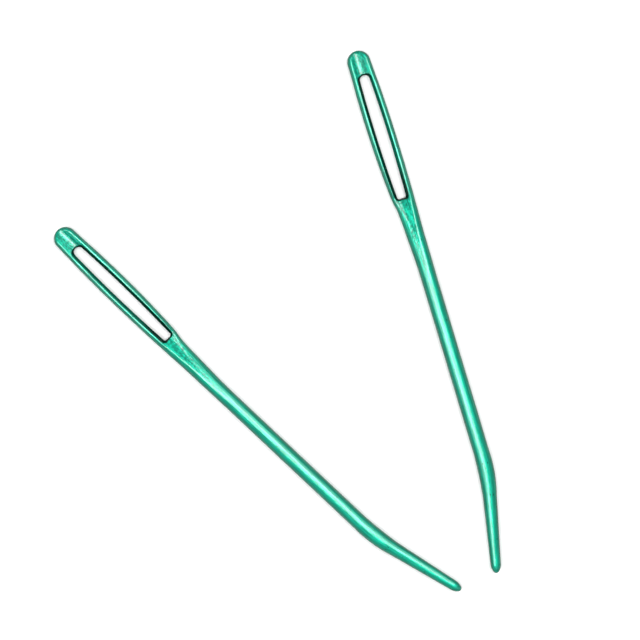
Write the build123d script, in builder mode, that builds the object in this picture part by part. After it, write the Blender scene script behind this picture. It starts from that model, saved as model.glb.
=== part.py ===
from build123d import *
import math
import os

# A pair of bent-tip yarn needles of one pattern, lying side by side with one turned over.
# Lengths are millimetres and angles are degrees. A needle is drawn in its own frame first: X runs along
# the shaft from the head's end, Y points to the side that the tip bends to, and Z is square to both,
# with the needle's middle plane at zero.

# Shaft and tip
shaft_diameter = 2.25
bend_place = 62.42
bend_angle = 11.75
bend_radius = 30.0
tip_length = 14.08
bend_middle_width = 2.3
bend_middle_thickness = 2.2
bend_end_diameter = 2.0
nose_diameter = 1.46
nose_length = 1.3
nose_end_radius = 0.46

# Head: pressed flat and wide, rounded at its end, leaning a little to the side of the bend
head_width = 3.76
head_thickness = 1.16
head_run = 33.8
head_end_width = 3.28
head_lean = 0.72

# Eye: a long slot, widest nearer the head's end, with walls that slope out to both faces
eye_start = 3.6
eye_length = 18.2
eye_width = 1.68
eye_head_width = 1.4
eye_neck_width = 1.26
eye_corner_radius = 0.28
eye_land = 0.2
eye_wall_slope = 40.0
eye_head_shift = 0.64
eye_neck_shift = 0.42

# Troughs that lead the yarn into the eye, alike on both faces
head_trough_radius = 2.6
head_trough_web = 0.56
head_trough_rise = 2.5
head_trough_shift = 0.72
neck_trough_radius = 2.0
neck_trough_web = 1.08
neck_trough_place = 23.1
neck_trough_rise = 3.9
neck_trough_heading = 2.0
neck_trough_shift = 0.3

# How the pair lies: each needle's heading in the plane, and the step from one head's end to the other's
left_heading = -43.27
right_heading = -73.26
pair_step_across = 43.26
pair_step_along = 26.04

# How full an oval's quarters are drawn: the reach of each curve's handles as a share of its half width
# and half height. The first is round, and the second has the flat faces of the pressed head.
round_share = 0.5523
pressed_share = 0.95

# Stations along the head. Each has its place as a share of the head's run, then shares of the swell in
# width over the shaft, of the flattening, of the change to flat faces and of the lean to the side.
station_shares = (
    (0.105, 0.755, 1.00, 1.00, 0.94),
    (0.190, 0.910, 1.00, 1.00, 0.88),
    (0.325, 1.000, 1.00, 1.00, 0.78),
    (0.450, 0.945, 0.98, 1.00, 0.67),
    (0.560, 0.800, 0.94, 1.00, 0.53),
    (0.625, 0.675, 0.88, 0.95, 0.44),
    (0.655, 0.570, 0.82, 0.90, 0.36),
    (0.684, 0.425, 0.74, 0.80, 0.24),
    (0.725, 0.320, 0.62, 0.65, 0.17),
    (0.790, 0.205, 0.44, 0.45, 0.14),
    (0.865, 0.115, 0.24, 0.22, 0.06),
    (0.940, 0.035, 0.08, 0.07, 0.00),
    (1.000, 0.000, 0.00, 0.00, 0.00),
    (1.030, 0.000, 0.00, 0.00, 0.00),
)
shaft_start_share = 1.09
eye_widest_share = 0.42

shaft_radius = shaft_diameter / 2
head_end_radius = head_end_width / 2


def cross_plane(place, shift):
    """The plane square to the shaft at a place along it, with its X across and its Y up."""
    return Plane(origin=(place, shift, 0), x_dir=(0, 1, 0), z_dir=(1, 0, 0))


def half_oval(width, thickness, full_share):
    """One side of an oval, as two curves from its top round to its bottom."""
    side = width / 2
    top = thickness / 2
    full_side = side * full_share
    full_top = top * full_share
    Bezier((0, top), (full_side, top), (side, full_top), (side, 0))
    Bezier((side, 0), (side, -full_top), (full_side, -top), (0, -top))


def oval_section(place, shift, width, thickness, full_share):
    """A whole oval across the needle."""
    with BuildSketch(cross_plane(place, shift)) as section:
        with BuildLine():
            half_oval(width, thickness, full_share)
            mirror(about=Plane.YZ)
        make_face()
    return section.sketch


def round_section(place):
    """The shaft's round section, in quarters like the ovals that it is lofted with."""
    with BuildSketch(cross_plane(place, 0)) as section:
        with BuildLine():
            RadiusArc((0, shaft_radius), (shaft_radius, 0), shaft_radius)
            RadiusArc((shaft_radius, 0), (0, -shaft_radius), shaft_radius)
            mirror(about=Plane.YZ)
        make_face()
    return section.sketch


def between(start, end, share):
    """The value that lies a share of the way from start to end."""
    return start + (end - start) * share


def eye_outline(plane, spread):
    """The eye's outline on a plane along its own axis, grown outwards by a spread."""
    head_half = eye_head_width / 2 + spread
    wide_half = eye_width / 2 + spread
    neck_half = eye_neck_width / 2 + spread
    corner = eye_corner_radius + spread
    head_centre = eye_head_width / 2
    neck_end = eye_length + spread
    with BuildSketch(plane) as outline:
        with BuildLine():
            for side in (1, -1):
                start = (head_centre, side * head_half)
                widest = (eye_length * eye_widest_share, side * wide_half)
                shoulder = (neck_end - corner, side * neck_half)
                ThreePointArc(start, widest, shoulder)
                lean_in = corner * (1 - math.sqrt(1 / 2))
                corner_middle = (neck_end - lean_in, side * (neck_half - lean_in))
                corner_end = (neck_end, side * (neck_half - corner))
                ThreePointArc(shoulder, corner_middle, corner_end)
            Line((neck_end, neck_half - corner), (neck_end, corner - neck_half))
            head_tip = (head_centre - head_half, 0)
            ThreePointArc((head_centre, head_half), head_tip, (head_centre, -head_half))
        make_face()
    return outline.sketch


# One needle, in its own frame
head_end_place = head_end_radius
eye_heading = math.degrees(math.atan2(eye_neck_shift - eye_head_shift, eye_length))
eye_plane = Plane(origin=(eye_start, eye_head_shift, 0)).rotated((0, 0, eye_heading))
wall_run = math.tan(math.radians(eye_wall_slope))

with BuildPart() as needle:
    # Head and neck, from the widest part of its round end to the full round of the shaft
    sections = [oval_section(head_end_place, head_lean, head_end_width, head_thickness, pressed_share)]
    for place_share, swell_share, flat_share, square_share, lean_share in station_shares:
        station = oval_section(
            head_run * place_share,
            head_lean * lean_share,
            between(shaft_diameter, head_width, swell_share),
            between(shaft_diameter, head_thickness, flat_share),
            between(round_share, pressed_share, square_share),
        )
        sections.append(station)
    shaft_start = head_run * shaft_start_share
    sections.append(round_section(shaft_start))
    loft(sections)

    # Round end of the head: half a turn of the head's own section about an upright axis
    with BuildSketch(cross_plane(head_end_place, head_lean)):
        with BuildLine():
            half_oval(head_end_width, head_thickness, pressed_share)
            Line((0, -head_thickness / 2), (0, head_thickness / 2))
        make_face()
    revolve(axis=Axis((head_end_place, head_lean, 0), (0, 0, 1)), revolution_arc=180)

    # Shaft, straight to where the bend begins
    bend_tangent = bend_radius * math.tan(math.radians(bend_angle / 2))
    bend_start = bend_place - bend_tangent
    extrude(round_section(shaft_start), amount=bend_start - shaft_start)

    # Bend, bulging a little in its own plane and thinning to the tip's first diameter
    with BuildLine() as bend_path:
        JernArc(start=(bend_start, 0), tangent=(1, 0), radius=bend_radius, arc_size=bend_angle)
    bend_end = bend_path.line @ 1
    tip_direction = bend_path.line % 1
    bend_middle = Plane(origin=bend_path.line @ 0.5, x_dir=(0, 0, 1), z_dir=bend_path.line % 0.5)
    with BuildSketch(Plane(origin=(bend_start, 0, 0), x_dir=(0, 0, 1), z_dir=(1, 0, 0))):
        Circle(shaft_radius)
    with BuildSketch(bend_middle):
        Ellipse(bend_middle_thickness / 2, bend_middle_width / 2)
    with BuildSketch(Plane(origin=bend_end, x_dir=(0, 0, 1), z_dir=tip_direction)):
        Circle(bend_end_diameter / 2)
    sweep(path=bend_path.line, multisection=True)

    # Tip: a slim taper, a gently curved nose and a small round end, each running into the next
    taper_length = tip_length - bend_tangent - nose_length
    nose_radius = nose_diameter / 2
    end_centre = nose_length - nose_end_radius
    nose_fall = nose_radius - nose_end_radius
    nose_side_radius = (end_centre**2 + nose_radius**2 - nose_end_radius**2) / (2 * nose_fall)
    meeting_angle = math.degrees(math.atan2(nose_side_radius - nose_radius, end_centre))
    with BuildSketch(Plane(origin=bend_end, x_dir=tip_direction, z_dir=(0, 0, 1))):
        with BuildLine():
            Line((0, bend_end_diameter / 2), (taper_length, nose_radius))
            nose_side_centre = (taper_length, nose_radius - nose_side_radius)
            CenterArc(nose_side_centre, nose_side_radius, meeting_angle, 90 - meeting_angle)
            CenterArc((taper_length + end_centre, 0), nose_end_radius, 0, meeting_angle)
            Line((taper_length + nose_length, 0), (0, 0))
            Line((0, 0), (0, bend_end_diameter / 2))
        make_face()
    revolve(axis=Axis(bend_end, tip_direction))

    for face_side in (1, -1):
        # Trough in the head, rising from the eye until it runs out at the head's end
        rise = math.radians(head_trough_rise)
        trough_middle = Vector(
            eye_start,
            head_trough_shift,
            face_side * (head_trough_web / 2 + head_trough_radius),
        )
        trough_direction = Vector(-math.cos(rise), 0, face_side * math.sin(rise))
        trough_plane = Plane(origin=trough_middle, x_dir=(0, 1, 0), z_dir=trough_direction)
        with BuildSketch(trough_plane) as trough_section:
            Circle(head_trough_radius)
        extrude(amount=eye_start + head_end_radius, mode=Mode.SUBTRACT)
        extrude(trough_section.sketch, amount=-eye_head_width, mode=Mode.SUBTRACT)

        # Trough in the neck, rising until it runs out of the shaft's crown
        rise = math.radians(neck_trough_rise)
        heading = math.radians(-neck_trough_heading)
        trough_direction = Vector(
            math.cos(rise) * math.cos(heading),
            math.cos(rise) * math.sin(heading),
            face_side * math.sin(rise),
        )
        trough_middle = Vector(
            neck_trough_place,
            neck_trough_shift,
            face_side * (neck_trough_web / 2 + neck_trough_radius),
        )
        trough_plane = Plane(origin=trough_middle, x_dir=(0, 1, 0), z_dir=trough_direction)
        with BuildSketch(trough_plane) as trough_section:
            Circle(neck_trough_radius)
        extrude(amount=head_run - neck_trough_place, mode=Mode.SUBTRACT)
        run_back = eye_start + eye_length - eye_neck_width - neck_trough_place
        extrude(trough_section.sketch, amount=run_back, mode=Mode.SUBTRACT)

        # Sloping wall of the eye, from its land to above the face
        wall_height = max(shaft_radius, head_thickness / 2)
        wall_foot = eye_outline(eye_plane.offset(face_side * eye_land / 2), 0)
        wall_spread = (wall_height - eye_land / 2) * wall_run
        wall_top = eye_outline(eye_plane.offset(face_side * wall_height), wall_spread)
        loft([wall_foot, wall_top], ruled=True, mode=Mode.SUBTRACT)

    # Eye, straight through at its land
    extrude(eye_outline(eye_plane.offset(-eye_land / 2), 0), amount=eye_land, mode=Mode.SUBTRACT)

# Where each needle lies before the pair is centred: the right one is turned over
left_lie = Plane(
    origin=(0, 0, 0),
    x_dir=Vector(1, 0, 0).rotate(Axis.Z, left_heading),
    z_dir=(0, 0, 1),
)
right_lie = Plane(
    origin=(pair_step_across, pair_step_along, 0),
    x_dir=Vector(1, 0, 0).rotate(Axis.Z, right_heading),
    z_dir=(0, 0, -1),
)

# The pair rests on the ground plane, centred over the origin
pair = Compound([needle.part.moved(lie.location) for lie in (left_lie, right_lie)])
pair_box = pair.bounding_box()
pair_foot = Vector(pair_box.center().X, pair_box.center().Y, pair_box.min.Z)

os.makedirs("parts", exist_ok=True)
for name, lie in (("needle_left", left_lie), ("needle_right", right_lie)):
    with BuildPart(Plane(origin=lie.origin - pair_foot, x_dir=lie.x_dir, z_dir=lie.z_dir)) as placed:
        add(needle.part)
    placed.part.label = name
    export_step(placed.part, f"parts/{name}.step")
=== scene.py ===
import math

import bmesh
import bpy
import numpy as np
from mathutils import Matrix, Vector


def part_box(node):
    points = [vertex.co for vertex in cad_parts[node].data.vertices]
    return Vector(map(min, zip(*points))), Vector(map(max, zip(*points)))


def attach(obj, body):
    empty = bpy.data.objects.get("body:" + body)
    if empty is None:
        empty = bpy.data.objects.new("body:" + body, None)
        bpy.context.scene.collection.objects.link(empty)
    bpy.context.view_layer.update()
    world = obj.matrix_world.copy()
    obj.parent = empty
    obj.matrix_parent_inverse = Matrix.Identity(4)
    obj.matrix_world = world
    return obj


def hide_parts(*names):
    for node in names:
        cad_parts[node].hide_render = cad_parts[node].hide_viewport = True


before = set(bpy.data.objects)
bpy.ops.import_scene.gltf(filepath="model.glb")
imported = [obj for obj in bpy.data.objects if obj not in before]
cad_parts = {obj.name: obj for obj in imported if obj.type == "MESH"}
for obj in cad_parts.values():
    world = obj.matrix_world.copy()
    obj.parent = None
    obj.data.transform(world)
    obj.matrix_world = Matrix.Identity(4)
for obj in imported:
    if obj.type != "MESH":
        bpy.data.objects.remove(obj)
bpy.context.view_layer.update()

# A pair of bent-tip yarn needles of one pattern, one turned over. The needle's sizes are millimetres and
# degrees in its own frame: X along the shaft from the head's end, Y to the side that the tip bends to,
# Z square to both with the middle plane at zero. Its mesh and everything else in the scene is in metres.
MM = 0.001

# Shaft and tip
shaft_diameter = 2.25
bend_place = 62.42
bend_angle = 11.75
bend_radius = 30.0
tip_length = 14.08
bend_middle_width = 2.3
bend_middle_thickness = 2.2
bend_end_diameter = 2.0
nose_diameter = 1.46
nose_length = 1.3
nose_end_radius = 0.46

# Head
head_width = 3.76
head_thickness = 1.16
head_run = 33.8
head_end_width = 3.28
head_lean = 0.72

# Eye
eye_start = 3.6
eye_length = 18.2
eye_width = 1.68
eye_head_width = 1.4
eye_neck_width = 1.26
eye_corner_radius = 0.28
eye_land = 0.2
eye_wall_slope = 40.0
eye_head_shift = 0.64
eye_neck_shift = 0.42

# Troughs, and how softly the edges between the surfaces are rounded
head_trough_round = 0.8
head_trough_flank = (0.7, 0.8)
head_trough_web = 0.56
head_trough_rise = 0.5
head_trough_shift = 0.8
neck_trough_round = 0.3
neck_trough_flank = (0.42, 0.42)
neck_trough_web = 0.93
neck_trough_place = 23.1
neck_trough_rise = 5.5
neck_trough_end_rise = 3.0
neck_trough_run = 7.5
neck_trough_heading = 3.1
neck_trough_shift = 0.5
crest_rounding = 0.18
wall_rounding = 0.09
pressed_side_share = 0.72
pressed_exponent = 1.25

# Headings of the two needles in the ground plane
left_heading = -43.27
right_heading = -73.26

# Stations along the head: place as a share of the head's run, then shares of the swell in width, of the
# flattening, of the change to flat faces and of the lean
station_shares = (
    (0.105, 0.755, 1.00, 1.00, 0.94),
    (0.190, 0.910, 1.00, 1.00, 0.88),
    (0.325, 1.000, 1.00, 1.00, 0.78),
    (0.450, 0.945, 0.98, 1.00, 0.67),
    (0.560, 0.800, 0.94, 1.00, 0.53),
    (0.625, 0.675, 0.88, 0.95, 0.44),
    (0.655, 0.570, 0.82, 0.90, 0.36),
    (0.684, 0.425, 0.74, 0.80, 0.24),
    (0.725, 0.320, 0.62, 0.65, 0.17),
    (0.790, 0.205, 0.44, 0.45, 0.14),
    (0.865, 0.115, 0.24, 0.22, 0.06),
    (0.940, 0.035, 0.08, 0.07, 0.00),
    (1.000, 0.000, 0.00, 0.00, 0.00),
)
eye_widest_share = 0.42

# Painted shade on the eye's walls: its share on the lighter wall, and where it deepens at the ends
light_wall_share = 0.33
dark_neck_start = 17.6
dark_neck_fade = 2.0
dark_head_fade = 0.8

# How finely the mesh is divided
half_ring_steps = 48
corner_steps = 14
rail_steps = 84
head_end_steps = 44
wall_steps = 18
face_steps = 24
bend_steps = 30
taper_steps = 24
nose_side_steps = 10
nose_end_steps = 12
neck_spacing = 0.2
shaft_spacing = 0.6

# Where the grid round the eye stops in the neck, how far out its rows keep the eye's outline, how much they
# crowd towards the head's outline, and the share of each neck corner that faces the cut
neck_cut = 24.5
loop_reach = 0.72
rim_crowding = 3.0
corner_share = 0.4

shaft_radius = shaft_diameter / 2
head_end_radius = head_end_width / 2
eye_neck_place = eye_start + eye_length
eye_heading = math.atan2(eye_neck_shift - eye_head_shift, eye_length)
wall_run = math.tan(math.radians(eye_wall_slope))
bend_tangent = bend_radius * math.tan(math.radians(bend_angle / 2))
bend_start = bend_place - bend_tangent


def between(start, end, share):
    """The value that lies a share of the way from start to end."""
    return start + (end - start) * share


def smooth_curve(places, values):
    """A smooth curve through points, which never overshoots them, as a function of place."""
    places, values = np.array(places, float), np.array(values, float)
    gaps = np.diff(places)
    rises = np.diff(values) / gaps
    slopes = np.zeros(len(places))
    slopes[0], slopes[-1] = rises[0], rises[-1]
    for i in range(1, len(places) - 1):
        if rises[i - 1] * rises[i] > 0:
            before = 2 * gaps[i] + gaps[i - 1]
            after = gaps[i] + 2 * gaps[i - 1]
            slopes[i] = (before + after) / (before / rises[i - 1] + after / rises[i])

    def curve(at):
        at = np.clip(at, places[0], places[-1])
        i = np.clip(np.searchsorted(places, at) - 1, 0, len(gaps) - 1)
        u = (at - places[i]) / gaps[i]
        from_left = values[i] * (1 + 2 * u) * (1 - u) ** 2 + slopes[i] * gaps[i] * u * (1 - u) ** 2
        from_right = values[i + 1] * u * u * (3 - 2 * u) - slopes[i + 1] * gaps[i] * u * u * (1 - u)
        return from_left + from_right

    return curve


def station_curve(at_head_end, column, start, end):
    """A size along the head, from its value at the head's end through a column of the stations."""
    places = [head_end_radius] + [row[0] * head_run for row in station_shares]
    values = [at_head_end] + [between(start, end, row[column]) for row in station_shares]
    return smooth_curve(places, values)


half_width_at = station_curve(head_end_radius, 1, shaft_radius, head_width / 2)
half_height_at = station_curve(head_thickness / 2, 2, shaft_radius, head_thickness / 2)
flatness_at = station_curve(1, 3, 0, 1)
lean_at = station_curve(head_lean, 4, 0, head_lean)


def soft_min(a, b, rounding):
    """The lower of two heights, with the edge where they cross rounded off."""
    share = np.clip(0.5 + 0.5 * (b - a) / rounding, 0, 1)
    return between(b, a, share) - rounding * share * (1 - share)


def trough_height(along, across, web, floor_round, flanks, rise):
    """Height of a trough over the middle plane, its two flanks running into a rounded floor that rises."""
    flank = np.where(across < 0, flanks[0], flanks[1])
    section = np.sqrt(floor_round**2 + (flank * across) ** 2) - floor_round
    return web / 2 + section + math.tan(math.radians(rise)) * along


def face_height(x, y, from_eye):
    """Height of the upper face over a point of the plan, with how far it is trough and how far eye wall.

    from_eye is the point's way from the eye's edge."""
    # Flat faces with rounded sides, which turn into the round of the shaft
    past_end = np.maximum(head_end_radius - x, 0)
    out = np.hypot(y - lean_at(x), past_end)
    half_width, half_height = half_width_at(x), half_height_at(x)
    half_flat = flatness_at(x) * (half_width - pressed_side_share * half_height)
    side_share = np.clip((out - half_flat) / (half_width - half_flat), 0, 1)
    exponent = between(2, pressed_exponent, flatness_at(x))
    crown = half_height * (1 - side_share**exponent) ** (1 / exponent)

    # Head trough, rising towards the head's end, and out of the metal once it has reached the eye
    scoop = trough_height(x - eye_start, y - head_trough_shift, head_trough_web, head_trough_round,
                          head_trough_flank, -head_trough_rise)
    scoop = scoop + np.maximum(x - eye_start - eye_head_width, 0) / wall_run

    # Neck trough, rising until it runs out of the shaft's crown
    along = x - neck_trough_place
    trough_middle = neck_trough_shift - math.tan(math.radians(neck_trough_heading)) * along
    groove = trough_height(along, y - trough_middle, neck_trough_web, neck_trough_round,
                           neck_trough_flank, neck_trough_rise)
    easing = math.tan(math.radians(neck_trough_rise)) - math.tan(math.radians(neck_trough_end_rise))
    eased = np.clip(along, 0, neck_trough_run)
    groove = groove - easing * (eased**2 / (2 * neck_trough_run) + np.maximum(along - neck_trough_run, 0))
    groove = groove + np.maximum(eye_neck_place - eye_corner_radius - x, 0) / wall_run

    wall = eye_land / 2 + from_eye / wall_run
    trough = np.minimum(scoop, groove)
    body = soft_min(soft_min(crown, scoop, crest_rounding), groove, crest_rounding)
    height = soft_min(body, wall, wall_rounding)
    in_trough = np.clip(0.5 + (crown - trough) / crest_rounding, 0, 1)
    in_wall = np.clip(0.5 + (body - wall) / wall_rounding, 0, 1)
    return np.maximum(np.where(side_share >= 1, 0, height), 0), in_trough, in_wall


def painted_wall_shade(x, y):
    """How much painted shade the eye's walls get, as a share: full on one side and at both ends of the eye.
    """
    across = y - eye_head_shift - math.tan(eye_heading) * (x - eye_start)
    on_dark_side = np.clip(0.5 + across / eye_width, 0, 1)
    near_neck = np.clip((x - dark_neck_start) / dark_neck_fade, 0, 1)
    near_head = np.clip((eye_start + eye_head_width / 2 - x) / dark_head_fade, 0, 1)
    return between(light_wall_share, 1, np.maximum(on_dark_side, np.maximum(near_neck, near_head)))


# Places on the head's outline that the ends of the eye's rails are joined to
outline_at_corner = eye_neck_place - eye_corner_radius
outline_at_eye_head = eye_start + eye_head_width / 2


def steps(start, end, count):
    """Evenly spaced values from start up to, but not with, end."""
    return start + (end - start) * np.arange(count) / count


def eye_loop(spread):
    """The eye's outline grown by a spread, as a loop of points: across the neck, then round the head."""
    corner = eye_corner_radius + spread
    corner_x = eye_length - eye_corner_radius
    flat_half = eye_neck_width / 2 - eye_corner_radius
    head_centre = eye_head_width / 2
    widest = (eye_length * eye_widest_share, eye_width / 2)
    side_curve = np.polyfit(
        (head_centre, widest[0], corner_x), (eye_head_width / 2, widest[1], eye_neck_width / 2), 2
    )
    turn = corner_share * math.pi / 2
    arc_steps = half_ring_steps // 4
    flat_steps = half_ring_steps - 2 * arc_steps

    def corner_arc(start, end, count, side):
        angle = steps(start, end, count)
        return corner_x + corner * np.cos(angle), side * flat_half + corner * np.sin(angle)

    def rail(start, end, side):
        x = steps(start, end, rail_steps)
        return x, side * (np.polyval(side_curve, x) + spread)

    flat_y = steps(flat_half, -flat_half, flat_steps)
    head_angle = steps(-math.pi / 2, -3 * math.pi / 2, head_end_steps)
    head_reach = eye_head_width / 2 + spread
    pieces = (
        corner_arc(turn, 0, arc_steps, 1),
        (np.full(flat_steps, eye_length + spread), flat_y),
        corner_arc(0, -turn, arc_steps, -1),
        corner_arc(-turn, -math.pi / 2, corner_steps, -1),
        rail(corner_x, head_centre, -1),
        (head_centre + head_reach * np.cos(head_angle), head_reach * np.sin(head_angle)),
        rail(head_centre, corner_x, 1),
        corner_arc(math.pi / 2, turn, corner_steps, 1),
    )
    x = np.concatenate([piece[0] for piece in pieces])
    y = np.concatenate([piece[1] for piece in pieces])
    cos, sin = math.cos(eye_heading), math.sin(eye_heading)
    return eye_start + x * cos - y * sin, eye_head_shift + x * sin + y * cos


def ring_section(x):
    """Places across the needle at which a ring's points lie, from the bend side over to the other."""
    return lean_at(x) + half_width_at(x) * np.cos(np.linspace(0, math.pi, half_ring_steps + 1))


def head_outline():
    """The head's outline from the neck cut round the head, in step with the eye's loop after the neck."""
    leg = outline_at_eye_head - head_end_radius
    quarter = head_end_radius * math.pi / 2
    reach = steps(-(leg + quarter), leg + quarter, head_end_steps)
    turn = np.clip(reach, -quarter, quarter) / head_end_radius
    straight = np.maximum(np.abs(reach) - quarter, 0)
    head_x = head_end_radius * (1 - np.cos(turn)) + straight
    head_side = np.sin(turn)
    head_y = np.where(straight > 0, lean_at(head_x) + np.sign(reach) * half_width_at(head_x),
                      head_lean + head_end_radius * head_side)

    corner_x = steps(neck_cut, outline_at_corner, corner_steps)
    rail_x = steps(outline_at_corner, outline_at_eye_head, rail_steps)
    lower_x = np.concatenate([corner_x, rail_x])
    upper_x = np.concatenate([lower_x[1:], [outline_at_eye_head]])[::-1]
    x = np.concatenate([lower_x, head_x, upper_x])
    y = np.concatenate([
        lean_at(lower_x) - half_width_at(lower_x),
        head_y,
        lean_at(upper_x) + half_width_at(upper_x),
    ])
    return x, y


def head_grid():
    """Plan places of the grid round the eye, a row for each point of its loop, and the way from the eye."""
    loop_size = half_ring_steps + 2 * (corner_steps + rail_steps) + head_end_steps
    outer_x, outer_y = np.zeros(loop_size), np.zeros(loop_size)
    outer_x[: half_ring_steps + 1] = neck_cut
    outer_y[: half_ring_steps + 1] = ring_section(neck_cut)
    around_x, around_y = head_outline()
    outer_x[half_ring_steps:] = around_x
    outer_y[half_ring_steps:] = around_y

    columns_x, columns_y, away = [], [], []
    for step in range(wall_steps + 1):
        spread = loop_reach * step / wall_steps
        x, y = eye_loop(spread)
        columns_x.append(x)
        columns_y.append(y)
        away.append(np.full(loop_size, spread))
    inner_x, inner_y = columns_x[-1], columns_y[-1]

    # Steps crowd towards the outline, where the side turns down, but not towards the cut in the neck
    across_neck = np.zeros(loop_size)
    across_neck[: half_ring_steps + 1] = np.sin(np.linspace(0, math.pi, half_ring_steps + 1)) ** 0.5
    crowding = between(rim_crowding, 1.0, across_neck)
    for step in range(1, face_steps + 1):
        share = 1 - (1 - step / face_steps) ** crowding
        x = between(inner_x, outer_x, share)
        y = between(inner_y, outer_y, share)
        columns_x.append(x)
        columns_y.append(y)
        away.append(loop_reach + np.hypot(x - inner_x, y - inner_y))
    return np.array(columns_x).T, np.array(columns_y).T, np.array(away).T


def shaft_stations():
    """Places along the shaft's line from the neck cut to the bend, closer together in the neck."""
    return np.concatenate([
        np.arange(neck_cut, head_run, neck_spacing),
        np.arange(head_run, bend_start - neck_spacing, shaft_spacing),
        [bend_start],
    ])


def tip_profile():
    """The tip's straight part: places along it from the bend's end, with its radius at each."""
    nose_start = tip_length - bend_tangent - nose_length
    nose_radius = nose_diameter / 2
    end_centre = nose_length - nose_end_radius
    fall = nose_radius - nose_end_radius
    side_radius = (end_centre**2 + nose_radius**2 - nose_end_radius**2) / (2 * fall)
    meeting = math.atan2(end_centre, side_radius - nose_radius)
    taper = np.linspace(0, nose_start, taper_steps)
    taper_radius = between(bend_end_diameter / 2, nose_radius, taper / nose_start)
    side_turn = np.linspace(0, meeting, nose_side_steps)[1:]
    side_place = nose_start + side_radius * np.sin(side_turn)
    side = nose_radius - side_radius * (1 - np.cos(side_turn))
    end_turn = np.linspace(meeting, math.pi / 2, nose_end_steps)[1:]
    end_place = nose_start + end_centre + nose_end_radius * np.sin(end_turn)
    end = nose_end_radius * np.cos(end_turn)
    place = np.concatenate([taper, side_place, end_place])
    radius = np.concatenate([taper_radius, side, end])
    return place, radius


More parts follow.
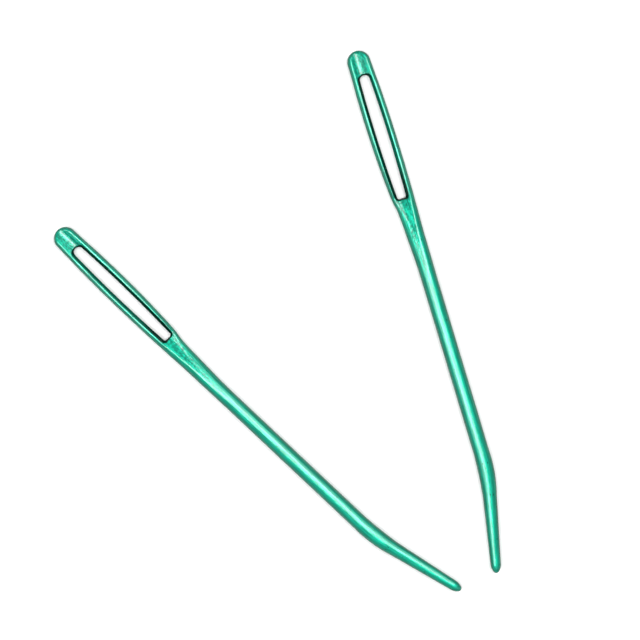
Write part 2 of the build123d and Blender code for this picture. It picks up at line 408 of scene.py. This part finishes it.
def make_needle(name):
    """One needle as a closed mesh in its own frame, with the place of each point on the unbent needle."""
    points, places, hollows, faces = [], [], [], []

    def add(x, y, z, place=None, hollow=(0, 0)):
        start = sum(len(block) for block in points)
        block = np.stack(np.broadcast_arrays(x, y, z), axis=-1).reshape(-1, 3)
        points.append(block)
        places.append(block if place is None else place)
        in_trough, in_wall = (np.broadcast_to(share, np.shape(x)).ravel() for share in hollow)
        shares = [np.resize(share, len(block)) for share in (in_trough, in_wall)]
        hollows.append(np.stack(shares, axis=-1))
        return start

    # Rings from the neck cut to the nose, each from the bend side over the crown and back underneath
    angle = np.linspace(0, 2 * math.pi, 2 * half_ring_steps, endpoint=False)
    ring_size = len(angle)
    stations = shaft_stations()
    ring_start = None
    for x in stations:
        half_y = ring_section(x)
        half_z, in_trough, in_wall = face_height(
            np.full(len(half_y), x), half_y, np.full(len(half_y), head_run)
        )
        y = np.concatenate([half_y, half_y[-2:0:-1]])
        z = np.concatenate([half_z, -half_z[-2:0:-1]])
        in_trough = np.concatenate([in_trough, in_trough[-2:0:-1]])
        first = add(np.full(len(y), x), y, z, hollow=(in_trough, 0))
        ring_start = first if ring_start is None else ring_start
    ring_count = len(stations)

    def add_round(centre, heading, radius, thickness, place):
        out = radius * np.cos(angle)
        up = thickness / 2 * np.sin(angle)
        flat = np.stack([np.full(ring_size, place), out, up], axis=-1)
        add(centre[0] - math.sin(heading) * out, centre[1] + math.cos(heading) * out, up, flat)

    middle_sizes = ((bend_middle_width, bend_middle_thickness), (bend_end_diameter, bend_end_diameter))
    width_curve, thickness_curve = (
        np.polyfit((0, 0.5, 1), (shaft_diameter, middle, end), 2) for middle, end in zip(*middle_sizes)
    )
    for step in range(1, bend_steps + 1):
        share = step / bend_steps
        heading = math.radians(bend_angle) * share
        centre = (bend_start + bend_radius * math.sin(heading), bend_radius * (1 - math.cos(heading)))
        width, thickness = np.polyval(width_curve, share), np.polyval(thickness_curve, share)
        add_round(centre, heading, width / 2, thickness, bend_start + bend_radius * heading)
    heading = math.radians(bend_angle)
    bend_end = (bend_start + bend_radius * math.sin(heading), bend_radius * (1 - math.cos(heading)))
    tip_places, tip_radii = tip_profile()
    arc_end = bend_start + bend_radius * heading
    for place, radius in zip(tip_places[1:-1], tip_radii[1:-1]):
        centre = (bend_end[0] + place * math.cos(heading), bend_end[1] + place * math.sin(heading))
        add_round(centre, heading, radius, 2 * radius, arc_end + place)
    ring_count += bend_steps + len(tip_places) - 2
    reach = tip_places[-1]
    pole = add(bend_end[0] + reach * math.cos(heading), bend_end[1] + reach * math.sin(heading), 0,
               np.array([[arc_end + reach, 0, 0]]))

    for ring in range(ring_count - 1):
        for i in range(ring_size):
            a = ring_start + ring * ring_size + i
            b = ring_start + ring * ring_size + (i + 1) % ring_size
            faces.append((a, b, b + ring_size, a + ring_size))
    last = ring_start + (ring_count - 1) * ring_size
    for i in range(ring_size):
        faces.append((last + i, last + (i + 1) % ring_size, pole))

    # Head: the same grid on both faces, sharing its outline and the first ring
    grid_x, grid_y, away = head_grid()
    grid_z, in_trough, in_wall = face_height(grid_x, grid_y, away)
    # Painted shade on the eye's walls, darker on one side and at both ends of the eye
    in_wall = in_wall * painted_wall_shade(grid_x, grid_y)
    loop_size, column_count = grid_x.shape
    inner = slice(0, column_count - 1)
    hollow = (in_trough[:, inner], in_wall[:, inner])
    upper = add(grid_x[:, inner], grid_y[:, inner], grid_z[:, inner], hollow=hollow)
    lower = add(grid_x[:, inner], grid_y[:, inner], -grid_z[:, inner], hollow=hollow)
    rim = slice(half_ring_steps + 1, loop_size)
    outline = add(grid_x[rim, -1], grid_y[rim, -1], 0)

    def grid_index(row, column, face):
        row %= loop_size
        if column < column_count - 1:
            return (upper if face > 0 else lower) + row * (column_count - 1) + column
        if row > half_ring_steps:
            return outline + row - half_ring_steps - 1
        return ring_start + (row if face > 0 else (ring_size - row) % ring_size)

    for row in range(loop_size):
        for face in (1, -1):
            for column in range(column_count - 1):
                corners = (grid_index(row, column, face), grid_index(row + 1, column, face),
                           grid_index(row + 1, column + 1, face), grid_index(row, column + 1, face))
                faces.append(corners[::face])
        faces.append((grid_index(row, 0, -1), grid_index(row + 1, 0, -1),
                      grid_index(row + 1, 0, 1), grid_index(row, 0, 1)))

    mesh = bpy.data.meshes.new(name)
    mesh.from_pydata((np.concatenate(points) * MM).tolist(), [], faces)
    attribute = mesh.attributes.new("place_on_needle", "FLOAT_VECTOR", "POINT")
    attribute.data.foreach_set("vector", np.concatenate(places).astype(np.float32).ravel())
    grid = bmesh.new()
    grid.from_mesh(mesh)
    bmesh.ops.recalc_face_normals(grid, faces=grid.faces)
    grid.to_mesh(mesh)
    grid.free()
    mesh.shade_smooth()
    # The third value of surface_kind is how level each point is, which sets the painted shade down the
    # sides
    upright = np.zeros(3 * len(mesh.vertices), np.float32)
    mesh.vertex_normals.foreach_get("vector", upright)
    hollows = np.concatenate(hollows)
    surface = np.column_stack([hollows, np.abs(upright[2::3])]).astype(np.float32)
    attribute = mesh.attributes.new("surface_kind", "FLOAT_VECTOR", "POINT")
    attribute.data.foreach_set("vector", surface.ravel())
    needle = bpy.data.objects.new(name, mesh)
    bpy.context.collection.objects.link(needle)
    return needle


def lay(needle, node, heading, turned_over):
    """Turns a needle to its heading, over if it is turned, and centres it on its CAD node."""
    turn = Matrix.Rotation(math.radians(heading), 4, "Z")
    if turned_over:
        turn = turn @ Matrix.Rotation(math.pi, 4, "X")
    needle.data.transform(turn)
    corners = np.array([vertex.co for vertex in needle.data.vertices])
    lowest, highest = Vector(corners.min(0)), Vector(corners.max(0))
    low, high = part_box(node)
    fit = [min(1, (high[i] - low[i]) / (highest[i] - lowest[i])) for i in range(3)]
    needle.data.transform(Matrix.Diagonal((*fit, 1)) @ Matrix.Translation(-(lowest + highest) / 2))
    needle.location = (low + high) / 2


# Anodised metal: its colours and gloss
metal_colour = (0.006, 0.43, 0.28)
cooler_colour = (0.006, 0.41, 0.27)
worn_colour = (0.22, 0.6, 0.5)
metal_roughness = 0.6
coat_weight = 0.5
coat_ior = 1.6
coat_roughness = 0.1
edge_tint = (0, 0.2, 0.16, 1)

# How far each mark changes the colour, roughness and height, and how deep each painted shade goes:
# side_shade down the sides, wall_shade on the eye's walls and trough_shade in the troughs. The sides'
# painted shade begins and is full where the surface is less level than side_starts and side_full, and the
# wear begins at worn_place along the needle.
side_shade = 0.5
side_starts = 0.9
side_full = 0.5
wall_shade = 0.25
trough_shade = 0.7
streak_depth = 0.25
mottle_depth = 0.25
pit_shade = 0.4
roughness_spread = 0.16
bump_height = 0.003
worn_place = 75.2
worn_share = 0.3

# Sizes of the marks, as repeats a millimetre along the needle and across it
streak_repeats = (0.3, 7.0, 7.0)
mottle_repeats = (2.6, 4.2, 4.2)
patch_repeats = (0.1, 0.4, 0.4)
pit_repeats = (1.1, 2.2, 2.2)

# Detail of each noise, the part of its range that shows, and the pits: the share of places left bare, their
# smallest and largest size, and where their soft edge starts
streak_detail = 3.0
mottle_detail = 2.0
patch_detail = 1.0
streak_range = (0.3, 0.7)
mottle_range = (0.35, 0.65)
patch_range = (0.35, 0.65)
pit_bare_share = 0.3
pit_sizes = (0.01, 0.26)
pit_soft_start = 0.4
streak_height_share = 0.35


def anodised_metal():
    """Bright green dyed anodised metal with lengthwise draw marks, small pits and a mottled sheen, with
    painted shade down its sides, on the eye's walls and in its troughs.
    """
    material = bpy.data.materials.new("green_anodised_aluminium")
    material.use_nodes = True
    nodes, links = material.node_tree.nodes, material.node_tree.links
    shader = nodes["Principled BSDF"]
    shader.inputs["Metallic"].default_value = 1.0
    shader.inputs["Specular Tint"].default_value = edge_tint
    shader.inputs["Coat Weight"].default_value = coat_weight
    shader.inputs["Coat IOR"].default_value = coat_ior
    shader.inputs["Coat Roughness"].default_value = coat_roughness

    def node(kind, inputs, **values):
        made = nodes.new(kind)
        for key, value in values.items():
            setattr(made, key, value)
        for key, value in inputs.items():
            if isinstance(value, bpy.types.NodeSocket):
                links.new(value, made.inputs[key])
            else:
                made.inputs[key].default_value = value
        return made

    def maths(operation, a, b):
        return node("ShaderNodeMath", {0: a, 1: b}, operation=operation).outputs[0]

    def remap(value, low, high, to_low, to_high):
        inputs = {"Value": value, "From Min": low, "From Max": high, "To Min": to_low, "To Max": to_high}
        return node("ShaderNodeMapRange", inputs, interpolation_type="SMOOTHSTEP").outputs[0]

    def blend(share, a, b):
        mix = node("ShaderNodeMix", {"Factor": share}, data_type="RGBA")
        for socket, value in zip(mix.inputs[6:8], (a, b)):
            if isinstance(value, bpy.types.NodeSocket):
                links.new(value, socket)
            else:
                socket.default_value = (*value, 1)
        return mix.outputs[2]

    place = node("ShaderNodeAttribute", {}, attribute_name="place_on_needle").outputs["Vector"]
    along = node("ShaderNodeSeparateXYZ", {0: place}).outputs["X"]
    kind = node("ShaderNodeAttribute", {}, attribute_name="surface_kind").outputs["Vector"]
    in_trough, in_wall, upright = node("ShaderNodeSeparateXYZ", {0: kind}).outputs

    def repeated(repeats):
        return node("ShaderNodeVectorMath", {0: place, 1: repeats}, operation="MULTIPLY").outputs[0]

    def noise(repeats, detail):
        inputs = {"Vector": repeated(repeats), "Scale": 1.0, "Detail": detail}
        return node("ShaderNodeTexNoise", inputs).outputs["Fac"]

    streaks = remap(noise(streak_repeats, streak_detail), *streak_range, 0.0, 1.0)
    mottle = remap(noise(mottle_repeats, mottle_detail), *mottle_range, 0.0, 1.0)
    patches = remap(noise(patch_repeats, patch_detail), *patch_range, 0.0, 1.0)
    pits = node("ShaderNodeTexVoronoi", {"Vector": repeated(pit_repeats), "Scale": 1.0})
    few = node("ShaderNodeSeparateXYZ", {0: pits.outputs["Color"]}).outputs["X"]
    pit_size = remap(few, pit_bare_share, 1.0, *pit_sizes)
    from_pit = maths("DIVIDE", pits.outputs["Distance"], pit_size)
    pit = remap(from_pit, pit_soft_start, 1.0, 1.0, 0.0)

    # Painted shade: dark down the sides and on the eye's walls, deeper in the troughs, where it is mottled
    # at random
    shade = maths("MULTIPLY", remap(upright, side_full, side_starts, side_shade, 1.0),
                  remap(in_wall, 0.0, 1.0, 1.0, wall_shade))
    mottled = remap(mottle, 0.0, 1.0,
                    trough_shade * (1 - mottle_depth), trough_shade * (1 + mottle_depth))
    trough = maths("ADD", maths("MULTIPLY", mottled, in_trough), maths("SUBTRACT", 1.0, in_trough))
    marks = maths("MULTIPLY", remap(streaks, 0.0, 1.0, 1.0 - streak_depth, 1.0 + streak_depth / 2),
                  remap(pit, 0.0, 1.0, 1.0, pit_shade))
    shade = maths("MULTIPLY", shade, maths("MULTIPLY", trough, marks))
    dyed = blend(patches, metal_colour, cooler_colour)
    at_point = remap(along, worn_place, worn_place + nose_length, 0.0, worn_share)
    worn = maths("MULTIPLY", at_point, streaks)
    colour = blend(worn, dyed, worn_colour)
    scaled = node("ShaderNodeVectorMath", {0: colour, "Scale": shade}, operation="SCALE").outputs[0]
    links.new(scaled, shader.inputs["Base Color"])

    grain = maths("ADD", maths("MULTIPLY", streaks, 0.5), maths("MULTIPLY", mottle, 0.5))
    rough = remap(grain, 0.0, 1.0,
                  metal_roughness + roughness_spread / 2, metal_roughness - roughness_spread / 2)
    links.new(rough, shader.inputs["Roughness"])
    streak_height = maths("MULTIPLY", streaks, streak_height_share)
    height = maths("ADD", streak_height, maths("MULTIPLY", mottle, in_trough))
    height = maths("SUBTRACT", height, pit)
    bump = node("ShaderNodeBump", {"Height": height, "Distance": bump_height * MM, "Strength": 1.0})
    links.new(bump.outputs["Normal"], shader.inputs["Normal"])
    links.new(bump.outputs["Normal"], shader.inputs["Coat Normal"])
    return material


metal = anodised_metal()
for name, node, body, heading, turned_over in (
    ("left_needle_metal", "needle_left", "left_needle", left_heading, False),
    ("right_needle_metal", "needle_right", "right_needle", right_heading, True),
):
    needle = make_needle(name)
    needle.data.materials.append(metal)
    lay(needle, node, heading, turned_over)
    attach(needle, body)
    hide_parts(node)

# Floor
floor_half = 1.5
paper_colour = (0.85, 0.85, 0.85, 1)
paper_roughness = 0.9
floor_mesh = bpy.data.meshes.new("floor")
floor_mesh.from_pydata(
    [(-floor_half, -floor_half, 0), (floor_half, -floor_half, 0),
     (floor_half, floor_half, 0), (-floor_half, floor_half, 0)], [], [(0, 1, 2, 3)]
)
floor = bpy.data.objects.new("floor", floor_mesh)
bpy.context.collection.objects.link(floor)
paper = bpy.data.materials.new("white_paper")
paper.use_nodes = True
paper_shader = paper.node_tree.nodes["Principled BSDF"]
paper_shader.inputs["Base Color"].default_value = paper_colour
paper_shader.inputs["Roughness"].default_value = paper_roughness
floor_mesh.materials.append(paper)

# Light: a broad key strip over the pair, and narrow strips square to each needle, which overlap so that
# their light fades outwards. Reaches, widths and leans are degrees as seen from the pair, headings are
# degrees in the ground plane, and the distance is in metres.
power_per_radiance = 4
world_strength = 0.3
lamp_distance = 0.7
key_radiance = 7.6
arm_radiance = 2.3
strip_heading = 31.8
key_reach = 27.5
key_low = -7.0
key_high = 9.5
arm_width = 4.6
arm_starts = 6.0
arm_lean = -1.0
arm_reaches = (11.0, 26.7, 46.0, 61.6)

world = bpy.data.worlds.new("studio")
bpy.context.scene.world = world
world.use_nodes = True
world.node_tree.nodes["Background"].inputs["Color"].default_value = (1, 1, 1, 1)
world.node_tree.nodes["Background"].inputs["Strength"].default_value = world_strength


def softbox(name, heading, near, far, half_width, radiance, across):
    """A rectangular area lamp, which faces the pair and spans angles from the zenith along a heading."""
    tilt = math.radians(near + far) / 2
    length = 2 * lamp_distance * math.tan(math.radians(far - near) / 2)
    width = 2 * lamp_distance * math.tan(math.radians(half_width))
    lamp = bpy.data.lights.new(name, "AREA")
    lamp.shape = "RECTANGLE"
    lamp.size, lamp.size_y = length, width
    lamp.energy = power_per_radiance * radiance * length * width
    holder = bpy.data.objects.new(name, lamp)
    bpy.context.collection.objects.link(holder)
    turn = Matrix.Rotation(math.radians(heading), 4, "Z")
    roll = Matrix.Rotation(math.radians(across), 4, "X")
    lean = Matrix.Rotation(tilt, 4, "Y")
    holder.matrix_world = turn @ roll @ lean @ Matrix.Translation((0, 0, lamp_distance))


key_half_width = (key_high - key_low) / 2
key_middle = (key_low + key_high) / 2
softbox("key", strip_heading, -key_reach, key_reach, key_half_width, key_radiance, key_middle)
for side, heading, lean in (
    ("left", left_heading + 90, -arm_lean),
    ("right", right_heading - 90, arm_lean),
):
    for i, reach in enumerate(arm_reaches):
        softbox(f"{side}_fill_{i}", heading, arm_starts, reach, arm_width, arm_radiance, lean)

# Camera, straight above, framed as the photograph is
photo_width = 0.09024
view_centre = (0.006, 0.000142)
lens_mm = 200
sensor_mm = 36
camera_data = bpy.data.cameras.new("camera")
camera_data.lens = lens_mm
camera_data.sensor_width = sensor_mm
camera_height = photo_width * lens_mm / sensor_mm
camera = bpy.data.objects.new("camera", camera_data)
bpy.context.collection.objects.link(camera)
camera.location = (view_centre[0], view_centre[1], camera_height + shaft_radius * MM)
bpy.context.scene.camera = camera

bpy.context.scene.view_settings.view_transform = "Standard"
